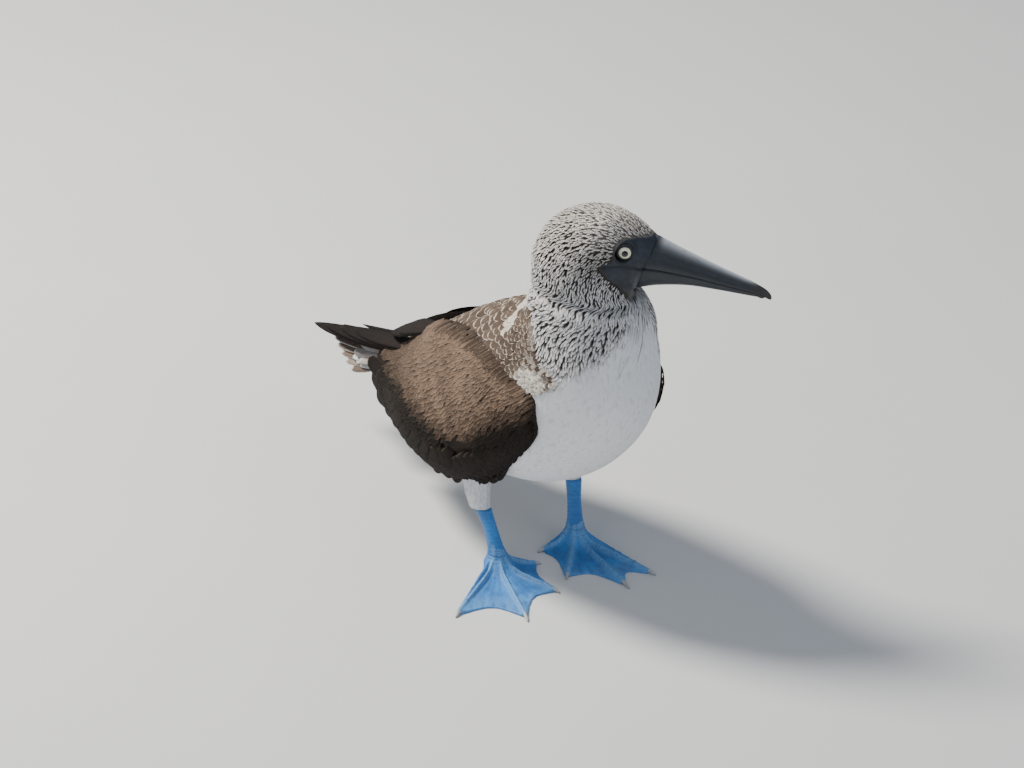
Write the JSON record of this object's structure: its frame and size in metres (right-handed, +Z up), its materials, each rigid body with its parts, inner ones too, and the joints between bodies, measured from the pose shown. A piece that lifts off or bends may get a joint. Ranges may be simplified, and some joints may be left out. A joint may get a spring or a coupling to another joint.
{
  "type": "blue-footed booby",
  "caption": "Life-size blue-footed booby standing on flat webbed feet, head turned to its left, wings folded over a wedge tail.",
  "frame": {"origin": "bottom centre of the bounding box, on the floor that the soles stand on", "axes": "+Z up; the body faces -Y, so +Y runs from the breast to the wing tips; the bird's left side is +X"},
  "size_m": [0.2118, 0.4938, 0.3364],
  "materials": {
    "streaked_feather": "matte",
    "body_feather": "matte",
    "wing_feather": "matte",
    "tail_feather": "matte",
    "bill_horn": "satin",
    "eye_surface": "gloss",
    "foot_skin": "satin",
    "claw_horn": "satin"
  },
  "bodies": {
    "root": {"head": "streaked_feather", "neck": "streaked_feather", "torso": "body_feather", "wing_left": "wing_feather", "wing_right": "wing_feather", "tail": "tail_feather", "thigh_left": "body_feather", "thigh_right": "body_feather", "tarsus_left": "foot_skin", "tarsus_right": "foot_skin", "foot_left": "foot_skin", "foot_right": "foot_skin", "claw_left_hallux": "claw_horn", "claw_left_2": "claw_horn", "claw_left_3": "claw_horn", "claw_left_4": "claw_horn", "claw_right_hallux": "claw_horn", "claw_right_2": "claw_horn", "claw_right_3": "claw_horn", "claw_right_4": "claw_horn", "bill_upper": "bill_horn", "bill_lower": "bill_horn", "eye_left": "eye_surface", "eye_right": "eye_surface"}
  },
  "joints": []
}
